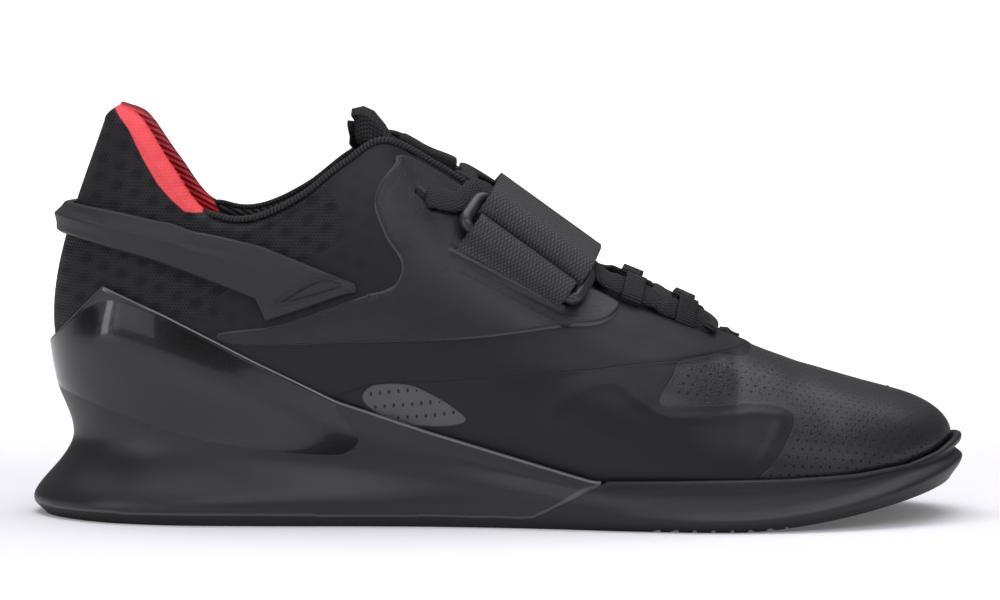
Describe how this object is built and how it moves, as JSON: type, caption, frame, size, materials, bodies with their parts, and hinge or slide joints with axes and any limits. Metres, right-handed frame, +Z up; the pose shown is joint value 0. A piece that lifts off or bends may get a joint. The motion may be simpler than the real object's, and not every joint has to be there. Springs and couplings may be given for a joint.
{
  "type": "training shoe",
  "caption": "raised-heel training shoe for the right foot: hollow upper open at the collar, laced throat, instep strap through a ring, moulded heel part, rubber sole",
  "frame": {"origin": "on the floor under the middle of the shoe's length and breadth", "axes": "+X points from the heel to the toe, +Y to the inner (medial) side, +Z up; the right shoe stands on its sole"},
  "size_m": [0.2999, 0.1102, 0.132],
  "materials": {
    "outsole_rubber": "matt",
    "cradle_plastic": "gloss and satin",
    "upper_mesh": "matt, with film and leather zones",
    "sock_fabric": "matt knit",
    "tongue_fabric": "matt mesh",
    "band_plastic": "matt",
    "saddle_leather": "satin fine grain",
    "webbing": "woven",
    "ring_plastic": "satin",
    "lace": "woven flat lace"
  },
  "bodies": {
    "root": {"outsole": "outsole_rubber", "heel_cradle": "cradle_plastic", "upper": "upper_mesh", "insole": "sock_fabric", "tongue": "tongue_fabric", "tongue_tab": "sock_fabric", "heel_band": "band_plastic", "saddle_lateral": "saddle_leather", "saddle_medial": "saddle_leather", "instep_strap": "webbing", "ring_webbing": "webbing", "strap_ring": "ring_plastic", "laces": "lace", "lace_loop_lateral_1": "webbing", "lace_loop_medial_1": "webbing", "lace_loop_lateral_2": "webbing", "lace_loop_medial_2": "webbing"}
  },
  "joints": []
}
